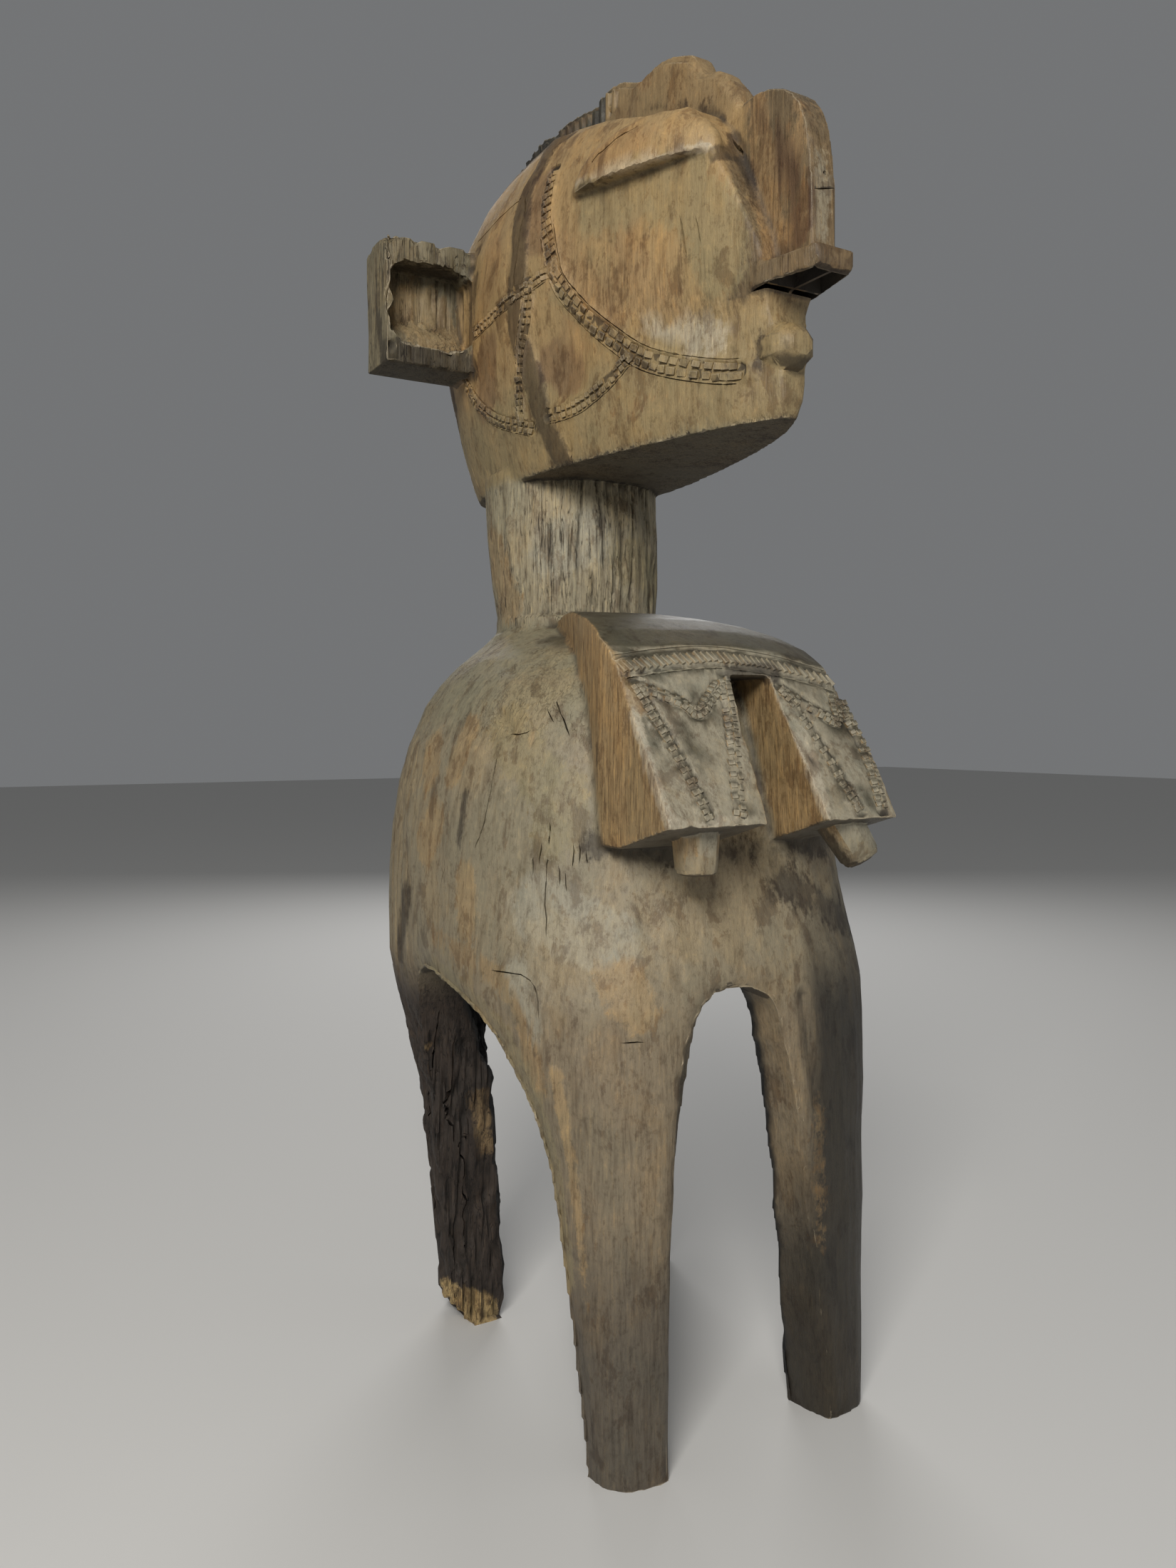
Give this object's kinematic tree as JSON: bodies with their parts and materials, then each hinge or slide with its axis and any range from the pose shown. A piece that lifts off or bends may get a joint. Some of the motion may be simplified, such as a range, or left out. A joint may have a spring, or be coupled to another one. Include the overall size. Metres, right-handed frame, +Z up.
{
  "type": "nimba shoulder mask",
  "caption": "Carved wooden shoulder mask: a long-nosed head with a crest on a neck, over a hollow yoke with flat breasts and four legs.",
  "frame": {"origin": "on the floor, under the middle of the mask's box", "axes": "+Z up from the feet to the crest; the face and the breasts look along -Y; the figure's right side is at -X"},
  "size_m": [0.384, 0.575, 1.204],
  "materials": {
    "old_wood": "hand-carved, rubbed and weathered, with a dark grey-brown patina and ochre wear"
  },
  "bodies": {
    "root": {"nimba_mask": "old_wood"}
  },
  "joints": []
}
